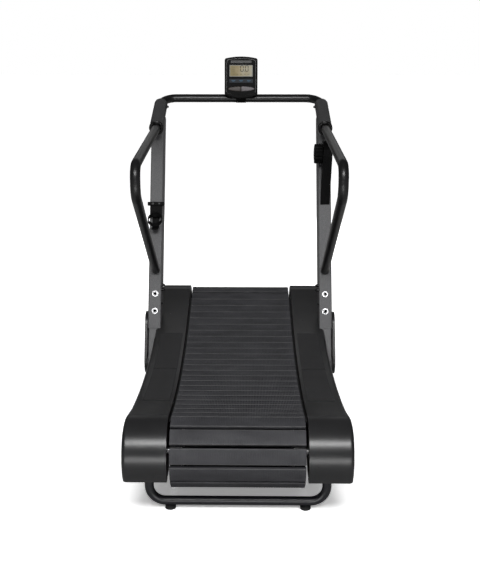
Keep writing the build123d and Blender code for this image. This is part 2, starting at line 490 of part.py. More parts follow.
def make_bottle_holder():
    """Bottle cage screwed to the left upright: ears, stem, tilted band and rest."""
    x, slope = -UPRIGHT_X, sin(LEAN) / cos(LEAN)
    ears_s, band_s, rest_s = [(z - LEAN_Z) / cos(LEAN) for z in (EARS_Z, BAND_Z, REST_Z)]
    wall_y = LEAN_Y + (BAND_Z - LEAN_Z) * slope
    band_y, rest_y = wall_y - BAND_OFFSET, LEAN_Y + (REST_Z - LEAN_Z) * slope
    tilted = Pos(x, band_y, BAND_Z) * Rot(BAND_TILT, 0, 0) * Box(120, 160, BAND_HIGH)
    cage = Pos(x, band_y, BAND_Z) * (Cylinder(BOTTLE_R + 3, 120) - Cylinder(BOTTLE_R, 121)) & tilted
    cage += slab(lean, rect(-12, 0, ears_s - 8, ears_s + 8), x - 40, x + 37)
    cage += slab(lean, rect(-6, 0, band_s, ears_s), x - 28, x + 28)
    cage += slab(lean, rect(-5, 0, rest_s, band_s + 5), x - 16, x + 16)
    arm = block(x - 14, x + 14, band_y + 20, wall_y + 20, BAND_Z + 4, BAND_Z + 24)
    cage += arm - Pos(x, band_y, BAND_Z) * Cylinder(BOTTLE_R + 1, 120)
    cage += block(x - 16, x + 16, band_y - 22, rest_y + 6, REST_Z - 3, REST_Z + 3)
    beyond_face = slab(lean, rect(0, 200, 0, UPRIGHT_TOP), x - 50, x + 50)
    add("bottle_holder", cage - beyond_face)
    for offset_x in (-15, 15):
        screw = slab(lean, Pos(-6, 0) * rect(-8.5, -6, ears_s - SCREW_R, ears_s + SCREW_R),
                     x + offset_x - SCREW_R, x + offset_x + SCREW_R)
        add("cage_screws", screw)


def make_resistance():
    """Resistance dial and its housing on the right upright."""
    outline = Polyline((0, 494), (-96, 700), (-104, 730), (-90, 770), (0, 806), close=True)
    wedge = fillet(make_face(outline).vertices().sort_by(Axis.X)[:3], 18)
    housing = slab(lean, wedge, 370, 440) & housing_width(0)
    hollow = slab(lean, offset(wedge, -HOUSING_SKIN) & rect(-200, -3, 0, 1000), 370, 440)
    housing -= hollow & housing_width(HOUSING_SKIN)
    centre = Pos(-60, 725)
    housing += slab(lean, centre * Circle(12), DIAL_BACK + 4, 425)
    housing -= slab(lean, centre * Circle(6 + RUNNING_GAP), DIAL_BACK, 420)
    add("resistance_housing", housing)
    grips = Sketch() + [centre * Rot(0, 0, 30 * i) * Pos(DIAL_R + 1, 0) * Circle(5) for i in range(12)]
    dial = slab(lean, centre * Circle(DIAL_R) - grips, DIAL_FRONT + 2, DIAL_BACK)
    dial += slab(lean, centre * Circle(6), DIAL_BACK - 5, 419)
    dial += slab(lean, centre * Circle(30), DIAL_FRONT, DIAL_FRONT + 3)
    add("resistance_dial", dial)


def housing_width(inset):
    """Prism across the upright's rear face that narrows and leans outwards going up."""
    corners = [(377 + inset, 480), (421 - inset, 480), (433 - inset, 820), (391 + inset, 820)]
    view = Polyline(*corners, close=True)
    face = Plane(origin=(0, LEAN_Y, LEAN_Z), x_dir=(1, 0, 0), z_dir=(0, -cos(LEAN), sin(LEAN)))
    return extrude(face * make_face(view), amount=200)


def main():
    make_belt()
    make_drums()
    make_flywheel()
    make_rails()
    make_feet()
    make_covers()
    make_uprights()
    make_bars()
    make_console()
    make_bottle_holder()
    make_resistance()
    os.makedirs("parts", exist_ok=True)
    for name, solids in NODES.items():
        export_step(Compound(solids), f"parts/{name}.step")
    print(len(NODES), "nodes")
    axles = chord(0)
    for label, u, w in (("rear axle", -SPAN / 2, 0), ("front axle", SPAN / 2, 0), ("top arc", 0, TOP_CENTRE),
                        ("return arc", 0, RETURN_CENTRE), ("flywheel", FLYWHEEL_U, FLYWHEEL_W),
                        ("yoke pivot", YOKE_U, YOKE_W)):
        point = axles.from_local_coords((u, w, 0))
        print(label, round(point.Y, 3), round(point.Z, 3))
    dial = lean(0).from_local_coords((-60, 725, 0))
    print("dial", round(dial.Y, 3), round(dial.Z, 3))
    print("radii", round(DRUM_R, 3), round(TOP_R, 3), round(RETURN_R, 3), degrees(RETURN_HALF_ANGLE))


main()
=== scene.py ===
import json
import math

import bpy
import bmesh
from mathutils import Matrix, Vector

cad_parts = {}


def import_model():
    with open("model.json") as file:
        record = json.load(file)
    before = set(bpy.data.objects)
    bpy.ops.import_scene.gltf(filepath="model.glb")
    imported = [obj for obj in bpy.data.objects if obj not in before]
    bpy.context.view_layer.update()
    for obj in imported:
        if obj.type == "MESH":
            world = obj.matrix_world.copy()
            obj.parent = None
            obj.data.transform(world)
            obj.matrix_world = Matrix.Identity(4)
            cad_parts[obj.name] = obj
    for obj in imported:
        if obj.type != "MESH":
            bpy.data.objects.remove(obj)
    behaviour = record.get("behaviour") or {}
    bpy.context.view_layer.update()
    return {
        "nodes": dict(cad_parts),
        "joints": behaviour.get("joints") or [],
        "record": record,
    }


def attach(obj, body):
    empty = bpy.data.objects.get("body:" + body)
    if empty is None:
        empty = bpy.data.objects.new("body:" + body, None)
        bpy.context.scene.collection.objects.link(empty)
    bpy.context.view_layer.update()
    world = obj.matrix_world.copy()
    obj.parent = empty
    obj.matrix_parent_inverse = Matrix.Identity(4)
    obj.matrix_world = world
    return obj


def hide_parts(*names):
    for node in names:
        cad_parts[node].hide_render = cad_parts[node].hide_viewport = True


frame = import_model()
nodes = frame["nodes"]
joint_at = {j["name"]: Vector(j.get("pos_m", (0, 0, 0))) for j in frame["joints"]}
MM = 0.001

# ---------------------------------------------------------------- camera, floor, light

CAMERA_PLACE = (0.024, -3.8475, 1.69)
CAMERA_PITCH, CAMERA_YAW = math.radians(75.0), math.radians(0.8)
FOCAL_PIXELS, FRAME_TALL = 925.0, 570.0
SHIFT_X = 0.0128
SENSOR = 36.0
WORLD_SEEN, WORLD_LIGHT, WORLD_MIRRORED = 1.0, 0.18, 0.05    # to the camera, on the machine, in its gloss
FLOOR_SEEN, FLOOR_LIGHT, FLOOR_GLOW = 1.42, 0.3, 0.25        # shade to the camera, shade to light, own glow
FLOOR_SIZE = 80
SKY_PLACE, SKY_POWER, SKY_ANGLE = (0, -1.0, 4), 1.2, math.radians(55)
# name, place, target, power, width and height, seen in reflections
AREA_LIGHTS = (
    ("softbox", (0.0, -3.9, 3.6), (0, -0.6, 0.5), 165, (2.8, 0.9), True),
    ("bounce", (0.0, -2.3, 0.05), (0, -0.4, 1.1), 18, (1.6, 0.5), True),
    ("backdrop", (0.0, 2.6, 1.95), (0, 0, 1.3), 2.4, (2.4, 0.7), True),
    ("front_fill", (0.6, 4.8, 1.6), (0, 0.5, 0.8), 60, (2.5, 1.5), False),
)


def add_camera():
    data = bpy.data.cameras.new("camera")
    data.sensor_width = SENSOR
    data.lens = FOCAL_PIXELS / FRAME_TALL * SENSOR
    data.shift_x = SHIFT_X
    camera = bpy.data.objects.new("camera", data)
    camera.location = CAMERA_PLACE
    camera.rotation_euler = (CAMERA_PITCH, 0, CAMERA_YAW)
    bpy.context.scene.collection.objects.link(camera)
    bpy.context.scene.camera = camera


def add_floor():
    """Pale floor, brighter to camera rays than to others: it reads white and lights the machine softly."""
    bpy.ops.mesh.primitive_plane_add(size=FLOOR_SIZE)
    floor = bpy.context.object
    floor.name = "floor"
    material = bpy.data.materials.new("floor_white")
    material.use_nodes = True
    tree = material.node_tree
    tree.nodes.clear()
    output = tree.nodes.new("ShaderNodeOutputMaterial")
    diffuse = tree.nodes.new("ShaderNodeBsdfDiffuse")
    shade = tree.nodes.new("ShaderNodeMapRange")
    shade.inputs["To Min"].default_value = FLOOR_LIGHT
    shade.inputs["To Max"].default_value = FLOOR_SEEN
    glow = tree.nodes.new("ShaderNodeEmission")
    seen = tree.nodes.new("ShaderNodeLightPath")
    level = tree.nodes.new("ShaderNodeMath")
    level.operation = "MULTIPLY"
    level.inputs[1].default_value = FLOOR_GLOW
    total = tree.nodes.new("ShaderNodeAddShader")
    tree.links.new(seen.outputs["Is Camera Ray"], shade.inputs["Value"])
    tree.links.new(shade.outputs["Result"], diffuse.inputs["Color"])
    tree.links.new(seen.outputs["Is Camera Ray"], level.inputs[0])
    tree.links.new(level.outputs[0], glow.inputs["Strength"])
    tree.links.new(diffuse.outputs[0], total.inputs[0])
    tree.links.new(glow.outputs[0], total.inputs[1])
    tree.links.new(total.outputs[0], output.inputs["Surface"])
    floor.data.materials.append(material)


def add_world():
    """White behind the machine, a dimmer even light on it, and little of it mirrored."""
    world = bpy.data.worlds.new("studio")
    world.use_nodes = True
    tree = world.node_tree
    background = tree.nodes["Background"]
    background.inputs["Color"].default_value = (1, 1, 1, 1)
    seen = tree.nodes.new("ShaderNodeLightPath")
    mirrored = tree.nodes.new("ShaderNodeMapRange")
    mirrored.inputs["To Min"].default_value = WORLD_LIGHT
    mirrored.inputs["To Max"].default_value = WORLD_MIRRORED
    level = tree.nodes.new("ShaderNodeMapRange")
    level.inputs["To Max"].default_value = WORLD_SEEN
    tree.links.new(seen.outputs["Is Glossy Ray"], mirrored.inputs["Value"])
    tree.links.new(mirrored.outputs["Result"], level.inputs["To Min"])
    tree.links.new(seen.outputs["Is Camera Ray"], level.inputs["Value"])
    tree.links.new(level.outputs["Result"], background.inputs["Strength"])
    bpy.context.scene.world = world


def add_light(data, place, target, mirrored):
    """Aim a light at its target, and hide the lamp itself from the camera."""
    light = bpy.data.objects.new(data.name, data)
    light.location = place
    light.rotation_euler = (Vector(target) - Vector(place)).to_track_quat("-Z", "Y").to_euler()
    light.visible_camera = False
    light.visible_glossy = mirrored
    bpy.context.scene.collection.objects.link(light)


def add_lights():
    sky = bpy.data.lights.new("sky", "SUN")
    sky.energy, sky.angle = SKY_POWER, SKY_ANGLE
    add_light(sky, SKY_PLACE, (0, 0, 0), False)
    for name, place, target, power, size, mirrored in AREA_LIGHTS:
        area = bpy.data.lights.new(name, "AREA")
        area.energy, area.shape = power, "RECTANGLE"
        area.size, area.size_y = size
        add_light(area, place, target, mirrored)


add_camera()
add_floor()
add_world()
add_lights()
bpy.context.scene.view_settings.view_transform = "Standard"

# ---------------------------------------------------------------- materials


class Shader:
    """A Principled material with a few short ways to wire noise into it."""

    def __init__(self, name, colour, roughness, metallic=0.0, specular=0.5, coat=0.0, coat_roughness=0.1):
        self.material = bpy.data.materials.new(name)
        self.material.use_nodes = True
        self.tree = self.material.node_tree
        self.main = self.tree.nodes["Principled BSDF"]
        self.set("Base Color", (*colour, 1))
        self.set("Roughness", roughness)
        self.set("Metallic", metallic)
        self.set("Specular IOR Level", specular)
        self.set("Coat Weight", coat)
        self.set("Coat Roughness", coat_roughness)
        self.place = self.node("ShaderNodeTexCoord").outputs["Object"]

    def set(self, socket, value):
        self.main.inputs[socket].default_value = value

    def node(self, kind, **inputs):
        made = self.tree.nodes.new(kind)
        for name, value in inputs.items():
            made.inputs[name.replace("_", " ")].default_value = value
        return made

    def link(self, source, target):
        self.tree.links.new(source, target)

    def stretched(self, scale):
        """Object coordinates scaled along each axis."""
        mapping = self.node("ShaderNodeMapping")
        mapping.inputs["Scale"].default_value = scale
        self.link(self.place, mapping.inputs["Vector"])
        return mapping.outputs["Vector"]

    def noise(self, scale, detail=4.0, vector=None):
        texture = self.node("ShaderNodeTexNoise", Scale=scale, Detail=detail)
        self.link(vector or self.place, texture.inputs["Vector"])
        return texture.outputs["Fac"]

    def cells(self, scale):
        texture = self.node("ShaderNodeTexVoronoi", Scale=scale)
        self.link(self.place, texture.inputs["Vector"])
        return texture.outputs["Distance"]

    def ramp(self, source, *stops):
        """Colour ramp; each stop is (position, (r, g, b))."""
        ramp = self.node("ShaderNodeValToRGB")
        while len(ramp.color_ramp.elements) < len(stops):
            ramp.color_ramp.elements.new(0.5)
        for element, (position, colour) in zip(ramp.color_ramp.elements, stops):
            element.position = position
            element.color = (*colour, 1)
        self.link(source, ramp.inputs["Fac"])
        return ramp.outputs["Color"]

    def colour(self, source, *stops):
        self.link(self.ramp(source, *stops), self.main.inputs["Base Color"])

    def rough(self, source, low, high):
        spread = self.node("ShaderNodeMapRange", To_Min=low, To_Max=high)
        self.link(source, spread.inputs["Value"])
        self.link(spread.outputs["Result"], self.main.inputs["Roughness"])

    def bump(self, source, strength, distance):
        bump = self.node("ShaderNodeBump", Strength=strength, Distance=distance)
        self.link(source, bump.inputs["Height"])
        if self.main.inputs["Normal"].links:
            self.link(self.main.inputs["Normal"].links[0].from_socket, bump.inputs["Normal"])
        self.link(bump.outputs["Normal"], self.main.inputs["Normal"])


def grey(level, tint=0.0):
    """A grey, bluer by the share given as tint."""
    return (level, level, level * (1 + tint))


def powder_coat(name, low, high, roughness, grain, depth, specular=0.4, tint=0.03):
    """Powder coat: a fine orange-peel grain over a faint cloudy shade."""
    shader = Shader(name, grey(low), roughness, specular=specular)
    shader.colour(shader.noise(14, 5), (0.3, grey(low, tint)), (0.7, grey(high, tint)))
    shader.rough(shader.noise(60, 3), roughness - 0.06, roughness + 0.06)
    shader.bump(shader.noise(grain, 3), 0.5, depth)
    return shader.material


def speckled_coat():
    """Textured grey coat of the uprights: a visible fine fleck and grain."""
    shader = Shader("upright_grey", grey(0.1), 0.5, specular=0.35)
    fleck = shader.noise(420, 4)
    shader.colour(fleck, (0.32, grey(0.07, 0.03)), (0.52, grey(0.105, 0.03)), (0.7, grey(0.15, 0.04)))
    shader.rough(fleck, 0.42, 0.6)
    shader.bump(fleck, 0.5, 0.0006)
    return shader.material


def moulded(name, low, high, roughness, specular=0.35):
    """Moulded plastic: spark-eroded grain, faint flow marks and slight rub."""
    shader = Shader(name, grey(low), roughness, specular=specular)
    shader.colour(shader.noise(7, 6), (0.3, grey(low, 0.03)), (0.75, grey(high, 0.03)))
    shader.rough(shader.noise(35, 5), roughness - 0.07, roughness + 0.05)
    shader.bump(shader.cells(700), 0.25, 0.0004)
    return shader.material


def cover_plastic():
    """Satin shell of the foot rails and caps, with fine drawn lines and a soft grain."""
    shader = Shader("cover_black", grey(0.02), 0.3, specular=0.5)
    shader.colour(shader.noise(5, 6), (0.3, grey(0.011, 0.05)), (0.75, grey(0.016, 0.05)))
    shader.rough(shader.noise(22, 5), 0.25, 0.34)
    shader.bump(shader.noise(1.0, 3, shader.stretched((600, 60, 60))), 0.12, 0.0004)
    shader.bump(shader.cells(900), 0.18, 0.0003)
    return shader.material


def crinkled():
    """Crinkled coat of the head sleeves."""
    shader = Shader("grip_sleeve", grey(0.03), 0.5, specular=0.4)
    crease = shader.cells(170)
    shader.colour(crease, (0.1, grey(0.018, 0.03)), (0.55, grey(0.042, 0.03)))
    shader.rough(crease, 0.42, 0.62)
    shader.bump(crease, 0.7, 0.0016)
    shader.bump(shader.noise(520, 3), 0.3, 0.0005)
    return shader.material


def pad_rubber():
    """Grip pads: pebbled rubber with dust in the grain."""
    shader = Shader("grip_pad", grey(0.025), 0.62, specular=0.3)
    pebble = shader.cells(420)
    shader.colour(pebble, (0.05, grey(0.013, 0.04)), (0.6, grey(0.024, 0.04)))
    shader.rough(shader.noise(9, 5), 0.55, 0.7)
    shader.bump(pebble, 0.45, 0.0008)
    return shader.material


def slat_rubber():
    """Slat tread: matt rubber, paler where feet rub it, with fine mould grain."""
    shader = Shader("slat", grey(0.05, 0.06), 0.55, specular=0.26)
    rub = shader.noise(1.0, 6, shader.stretched((9, 26, 26)))
    shader.colour(rub, (0.3, grey(0.027, 0.1)), (0.55, grey(0.036, 0.1)), (0.8, grey(0.046, 0.08)))
    shader.rough(shader.noise(30, 4), 0.5, 0.66)
    shader.bump(shader.noise(650, 3), 0.3, 0.0004)
    return shader.material


def rubber(name, low, high, roughness):
    """Matt black rubber with a soft uneven shade and mould grain."""
    shader = Shader(name, grey(low), roughness, specular=0.3)
    shader.colour(shader.noise(20, 6), (0.3, grey(low, 0.03)), (0.75, grey(high, 0.03)))
    shader.rough(shader.noise(45, 3), roughness - 0.08, roughness + 0.08)
    shader.bump(shader.noise(300, 4), 0.4, 0.0006)
    return shader.material


def metal(name, low, high, roughness, lines):
    """Machined or drawn metal, with tool marks along the axis that lines stretches least."""
    shader = Shader(name, grey(high), roughness, metallic=1.0)
    marks = shader.noise(1.0, 4, shader.stretched(lines))
    shader.colour(marks, (0.3, grey(low, 0.02)), (0.7, grey(high, 0.02)))
    shader.rough(marks, roughness - 0.08, roughness + 0.1)
    shader.bump(marks, 0.25, 0.0002)
    return shader.material


def cast_iron(name, low, high):
    """Sand-cast iron: rough, and mottled at the grain of the sand."""
    shader = Shader(name, grey(low), 0.55, metallic=0.2, specular=0.4)
    sand = shader.noise(260, 6)
    shader.colour(sand, (0.3, grey(low, 0.04)), (0.7, grey(high, 0.04)))
    shader.rough(sand, 0.45, 0.7)
    shader.bump(sand, 0.55, 0.0012)
    return shader.material


GLASS_SPREAD = 9.0                              # tone per metre across the window
GLASS_TONES = ((0.12, (0.20, 0.16, 0.07)), (0.45, (0.27, 0.22, 0.12)),
               (0.75, (0.31, 0.28, 0.20)), (1.0, (0.31, 0.30, 0.24)))


def display_glass():
    """Liquid-crystal face, yellower at the left, with a faint cloudy glow painted in as light falling on it.
    """
    shader = Shader("window", (0.5, 0.46, 0.33), 0.3, specular=0.1, coat=0.03, coat_roughness=0.05)
    across = shader.node("ShaderNodeSeparateXYZ")
    shader.link(shader.place, across.inputs["Vector"])
    cloud = shader.noise(38, 4)
    total = shader.node("ShaderNodeMath")
    total.operation = "MULTIPLY_ADD"
    total.inputs[1].default_value = GLASS_SPREAD
    shader.link(across.outputs["X"], total.inputs[0])
    shader.link(cloud, total.inputs[2])
    tone = shader.ramp(total.outputs[0], *GLASS_TONES)
    shader.link(tone, shader.main.inputs["Base Color"])
    # painted light: the face's tone is also given off as a faint glow
    shader.link(tone, shader.main.inputs["Emission Color"])
    shader.set("Emission Strength", 0.06)
    return shader.material


def painted(name, colour, roughness):
    """Printed or moulded detail in one hue, slightly uneven."""
    shader = Shader(name, colour, roughness, specular=0.4)
    darker = tuple(0.7 * c for c in colour)
    shader.colour(shader.noise(180, 4), (0.3, darker), (0.7, colour))
    shader.bump(shader.noise(900, 3), 0.15, 0.0002)
    return shader.material


def make_materials():
    """The finish of each record slot, and the extra looks that only this script uses."""
    made = {
        "frame_black": powder_coat("frame_black", 0.016, 0.024, 0.42, 700, 0.0005),
        "frame_grey": powder_coat("frame_grey", 0.10, 0.14, 0.5, 500, 0.0006),
        "upright_grey": speckled_coat(),
        "foot_tube": powder_coat("foot_tube", 0.012, 0.02, 0.3, 800, 0.0003, specular=0.5, tint=0.2),
        "bar_black": powder_coat("bar_black", 0.005, 0.009, 0.33, 800, 0.0004, specular=0.5),
        "grip_sleeve": crinkled(),
        "cover_black": cover_plastic(),
        "grip_pad": pad_rubber(),
        "slat": slat_rubber(),
        "belt_rubber": rubber("belt_rubber", 0.012, 0.022, 0.6),
        "axle_steel": metal("axle_steel", 0.42, 0.6, 0.3, (40, 900, 900)),
        "pulley": metal("pulley", 0.4, 0.56, 0.34, (60, 700, 700)),
        "flywheel_iron": cast_iron("flywheel_iron", 0.07, 0.13),
        "bearing_housing": cast_iron("bearing_housing", 0.06, 0.11),
        "roller": metal("roller", 0.35, 0.5, 0.36, (60, 800, 800)),
        "moulded_black": moulded("moulded_black", 0.003, 0.006, 0.5, specular=0.05),
        "console_black": moulded("console_black", 0.002, 0.004, 0.36, specular=0.03),
        "window": display_glass(),
        "board": painted("board", (0.03, 0.09, 0.05), 0.5),
        "button_dark": painted("button_dark", (0.035, 0.026, 0.022), 0.45),
        "button_grey": painted("button_grey", (0.12, 0.108, 0.115), 0.45),
        "wheel_rubber": rubber("wheel_rubber", 0.014, 0.028, 0.62),
        "bolt_steel": metal("bolt_steel", 0.55, 0.7, 0.38, (500, 500, 60)),
    }
    extra = {
        "slat_body": rubber("slat_body", 0.006, 0.012, 0.6),
        # paler rubber painted on the slats' rounded edges as a highlight
        "slat_edge_highlight": rubber("slat_edge_highlight", 0.045, 0.075, 0.6),
        # near-black and rough: painted shade for the bolt sockets
        "socket_painted_shade": rubber("socket_painted_shade", 0.001, 0.003, 0.9),
        "screw_black": metal("screw_black", 0.03, 0.06, 0.45, (400, 400, 60)),
        "collar_black": moulded("collar_black", 0.004, 0.007, 0.2, specular=0.5),
        "collar_steel": metal("collar_steel", 0.35, 0.5, 0.28, (60, 600, 600)),
        "ink_dark": painted("ink_dark", (0.009, 0.007, 0.004), 0.6),
        "ink_faint": painted("ink_faint", (0.13, 0.11, 0.06), 0.5),
        "glass_rim": painted("glass_rim", (0.21, 0.21, 0.18), 0.4),
        "label_blue": painted("label_blue", (0.004, 0.010, 0.018), 0.6),
        "mark_blue": painted("mark_blue", (0.03, 0.09, 0.15), 0.5),
        "ridge_grey": moulded("ridge_grey", 0.022, 0.034, 0.3),
        "strip_black": moulded("strip_black", 0.004, 0.006, 0.3, specular=0.2),
    }
    return made, extra


finishes, extras = make_materials()
for part in frame["record"]["subparts"]:
    data = nodes[part["node"]].data
    data.materials.clear()
    blackened = part["node"] in ("clamp_bolts", "cage_screws")
    data.materials.append(extras["screw_black"] if blackened else finishes[part["material_slot"]])

# ---------------------------------------------------------------- mesh helpers

UPRIGHT_LEAN = math.radians(22.86)
CONSOLE_TILT = math.radians(10.0)
SHARP = math.radians(38)
WELD = 0.01 * MM


def turn_outwards(mesh):
    """Turn every closed shell's faces outwards."""
    work = bmesh.new()
    work.from_mesh(mesh)
    bmesh.ops.recalc_face_normals(work, faces=work.faces)
    work.to_mesh(mesh)
    work.free()
    mesh.update()


class Build:
    """Collects shells, each with one material index, for one piece."""

    def __init__(self):
        self.vertices, self.faces, self.pick = [], [], []

    def add(self, vertices, faces, material=0):
        base = len(self.vertices)
        self.vertices.extend(tuple(v) for v in vertices)
        self.faces.extend(tuple(base + i for i in face) for face in faces)
        self.pick.extend([material] * len(faces))

    def loft(self, rings, material=0, caps=True):
        """Skin equal closed rings of points; caps close the two end rings."""
        count = len(rings[0])
        vertices = [v for ring in rings for v in ring]
        faces = []
        for start in range(0, (len(rings) - 1) * count, count):
            for i in range(count):
                j = (i + 1) % count
                faces.append((start + i, start + j, start + count + j, start + count + i))
        if caps:
            faces.append(tuple(range(count))[::-1])
            faces.append(tuple((len(rings) - 1) * count + i for i in range(count)))
        self.add(vertices, faces, material)

    def lathe(self, frame_matrix, profile, turns=32, material=0, shape=None):
        """Spin (radius, height) points about the frame's z axis; shape scales the radius."""
        rings = []
        for radius, height in profile:
            ring = []
            for i in range(turns):
                angle = 2 * math.pi * i / turns
                r = radius * (shape(angle, radius) if shape else 1.0)
                ring.append(frame_matrix @ Vector((r * math.cos(angle), r * math.sin(angle), height)))
            rings.append(ring)
        self.loft(rings, material)

    def make(self, name, materials, body, replaced=()):
        """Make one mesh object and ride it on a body."""
        mesh = bpy.data.meshes.new(name)
        mesh.from_pydata(self.vertices, [], self.faces)
        for material in materials:
            mesh.materials.append(material)
        mesh.polygons.foreach_set("material_index", self.pick)
        turn_outwards(mesh)
        mesh.shade_smooth()
        mesh.set_sharp_from_angle(angle=SHARP)
        made = bpy.data.objects.new(name, mesh)
        bpy.context.scene.collection.objects.link(made)
        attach(made, body)
        if replaced:
            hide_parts(*replaced)


def frame_at(origin, z_axis, x_axis=(1, 0, 0)):
    """Matrix whose z runs along z_axis and whose x is near x_axis."""
    z = Vector(z_axis).normalized()
    y = z.cross(Vector(x_axis)).normalized()
    x = y.cross(z)
    rotation = Matrix((x, y, z)).transposed().to_4x4()
    return Matrix.Translation(Vector(origin)) @ rotation


def islands(node):
    """Vertex positions of each separate solid of a node."""
    work = bmesh.new()
    work.from_mesh(nodes[node].data)
    bmesh.ops.remove_doubles(work, verts=work.verts, dist=WELD)
    left = set(work.verts)
    found = []
    while left:
        stack, group = [left.pop()], []
        while stack:
            vertex = stack.pop()
            group.append(vertex.co.copy())
            for edge in vertex.link_edges:
                other = edge.other_vert(vertex)
                if other in left:
                    left.remove(other)
                    stack.append(other)
        found.append(group)
    work.free()
    return found


# ---------------------------------------------------------------- slats

SLAT_HALF, SLAT_HALF_WIDE = 240 * MM, 29 * MM
SLAT_UNDER, SLAT_TOP = 3 * MM, 19 * MM
WEB_HALF, WEB_DEPTH, WEB_HALF_THICK = 188 * MM, 20 * MM, 2.5 * MM
END_BAND, RIB_PITCH, GROOVE_WIDE, GROOVE_DEEP = 12 * MM, 6 * MM, 2.4 * MM, 1.2 * MM
UNDER_CHAMFER, SIDE_FOOT, SIDE_TAPER = 3 * MM, 4 * MM, 0.6
EDGE_R, EDGE_STEPS = 3.0 * MM, 3
WALL_RUN, END_SLOPE = 0.3 * MM, 1.5 * MM
WEB_ROOT, WEB_TOE_HIGH, WEB_TOE_IN, WEB_END_LIFT, WEB_END_RUN = 1 * MM, 2 * MM, 1.5 * MM, 6 * MM, 14 * MM
SLAT_RUBBER, SLAT_BODY, SLAT_EDGE_HIGHLIGHT = 0, 1, 2     # material indices of a slat
EDGE_HIGHLIGHT_SEGMENTS = (4, 5, 7, 8)                    # upper facets of the section's rounded edges, paler as a painted highlight along each slat edge


def slat_section(inset):
    """Section across a slat (along the belt, outwards); inset lowers the tread."""
    top = SLAT_TOP - inset
    side = SLAT_HALF_WIDE - inset * SIDE_TAPER
    foot = SLAT_UNDER + SIDE_FOOT
    points = [(-SLAT_HALF_WIDE + UNDER_CHAMFER, SLAT_UNDER), (SLAT_HALF_WIDE - UNDER_CHAMFER, SLAT_UNDER),
              (SLAT_HALF_WIDE, foot)]
    for start, across in ((0, side - EDGE_R), (90, -side + EDGE_R)):
        for step in range(EDGE_STEPS + 1):
            angle = math.radians(start + 90 / EDGE_STEPS * step)
            points.append((across + EDGE_R * math.cos(angle), top - EDGE_R + EDGE_R * math.sin(angle)))
    points.append((-SLAT_HALF_WIDE, foot))
    return points


def slat_stations():
    """Places along a slat where its section changes, with the tread inset there."""
    inner = SLAT_HALF - END_BAND
    count = int(2 * inner / RIB_PITCH)
    stations = [(-SLAT_HALF, GROOVE_DEEP), (-SLAT_HALF + END_SLOPE, 0.0)]
    for i in range(count):
        start = -inner + i * RIB_PITCH + (RIB_PITCH - GROOVE_WIDE) / 2
        stop = start + GROOVE_WIDE
        stations += [(start, 0.0), (start + WALL_RUN, GROOVE_DEEP),
                     (stop - WALL_RUN, GROOVE_DEEP), (stop, 0.0)]
    stations += [(SLAT_HALF - END_SLOPE, 0.0), (SLAT_HALF, GROOVE_DEEP)]
    return stations


def add_slat(build, place, along, out):
    """One ribbed slat with its stiffening web, at a pitch-line point."""
    def world(x, t, n):
        return place + Vector((x, 0, 0)) + along * t + out * n

    sections = {inset: slat_section(inset) for inset in (0.0, GROOVE_DEEP)}
    first = len(build.pick)
    build.loft([[world(x, t, n) for t, n in sections[inset]] for x, inset in slat_stations()], SLAT_RUBBER)
    around = len(sections[0.0])
    for face in range(first, len(build.pick) - 2):        # all but the two end caps
        # upper facets of the rounded edges take the paler rubber, a painted highlight
        if (face - first) % around in EDGE_HIGHLIGHT_SEGMENTS:
            build.pick[face] = SLAT_EDGE_HIGHLIGHT
    root, toe = SLAT_UNDER + WEB_ROOT, -WEB_DEPTH + WEB_TOE_HIGH
    web = [(-WEB_HALF_THICK, root), (-WEB_HALF_THICK, toe), (-WEB_HALF_THICK + WEB_TOE_IN, -WEB_DEPTH),
           (WEB_HALF_THICK - WEB_TOE_IN, -WEB_DEPTH), (WEB_HALF_THICK, toe), (WEB_HALF_THICK, root)]
    ends = ((-WEB_HALF, WEB_END_LIFT), (-WEB_HALF + WEB_END_RUN, 0), (WEB_HALF - WEB_END_RUN, 0),
            (WEB_HALF, WEB_END_LIFT))
    rings = []
    for x, lift in ends:
        rings.append([world(x, t, n if n > 0 else min(n + lift, 0)) for t, n in web])
    build.loft(rings, SLAT_BODY)


def make_slats():
    """Ribbed slats in place of the plain ones, one piece for each group of the belt."""
    runs = (("top", "belt_top_run", -1), ("rear", "belt_rear_wrap", 1),
            ("front", "belt_front_wrap", 1), ("return", "belt_return_run", 1))
    for run, joint, outward in runs:
        centre = joint_at[joint]
        build = Build()
        for group in islands("slats_" + run):
            middle = sum(group, Vector()) / len(group)
            radial = Vector((0, middle.y - centre.y, middle.z - centre.z)).normalized()
            out = radial * outward
            along = Vector((0, out.z, -out.y))
            top = max((v - centre).dot(out) for v in group)
            place = Vector((0, centre.y, centre.z)) + out * (top - SLAT_TOP)
            add_slat(build, place, along, out)
        materials = (finishes["slat"], extras["slat_body"], extras["slat_edge_highlight"])
        build.make("tread_" + run, materials, "belt_" + run, ("slats_" + run,))


make_slats()

# ---------------------------------------------------------------- dark strips beside the belt, standing in for the shade in the slits

TOP_RADIUS, CHORD_TILT, STRIP_HALF_ANGLE = 2885.7 * MM, math.radians(3.9), math.radians(13.3)
# millimetres: distance from the middle, and depth below the pitch line
STRIP_SECTION = ((254.3, 6.0), (243.0, 6.0), (241.8, 7.2), (242.4, 8.5), (254.3, 10.0))
STRIP_STEPS = 60


def make_slit_shade_strips():
    """Dark rubber strips on the bearing plates that close the slits beside the running surface: a dark sheet
    standing in for the shade in the slits.
    """
    centre = joint_at["belt_top_run"]
    build = Build()
    for side in (-1, 1):
        rings = []
        for step in range(STRIP_STEPS + 1):
            angle = CHORD_TILT + STRIP_HALF_ANGLE * (2 * step / STRIP_STEPS - 1)
            out = Vector((0, math.sin(angle), -math.cos(angle)))
            rings.append([Vector((side * x * MM, centre.y, centre.z)) + out * (TOP_RADIUS + low * MM)
                          for x, low in STRIP_SECTION])
        build.loft(rings)
    # dark rubber where the slits beside the belt show only shade: painted shade
    build.make("slit_shade_strips", (finishes["belt_rubber"],), "frame")


make_slit_shade_strips()

# ---------------------------------------------------------------- bolts

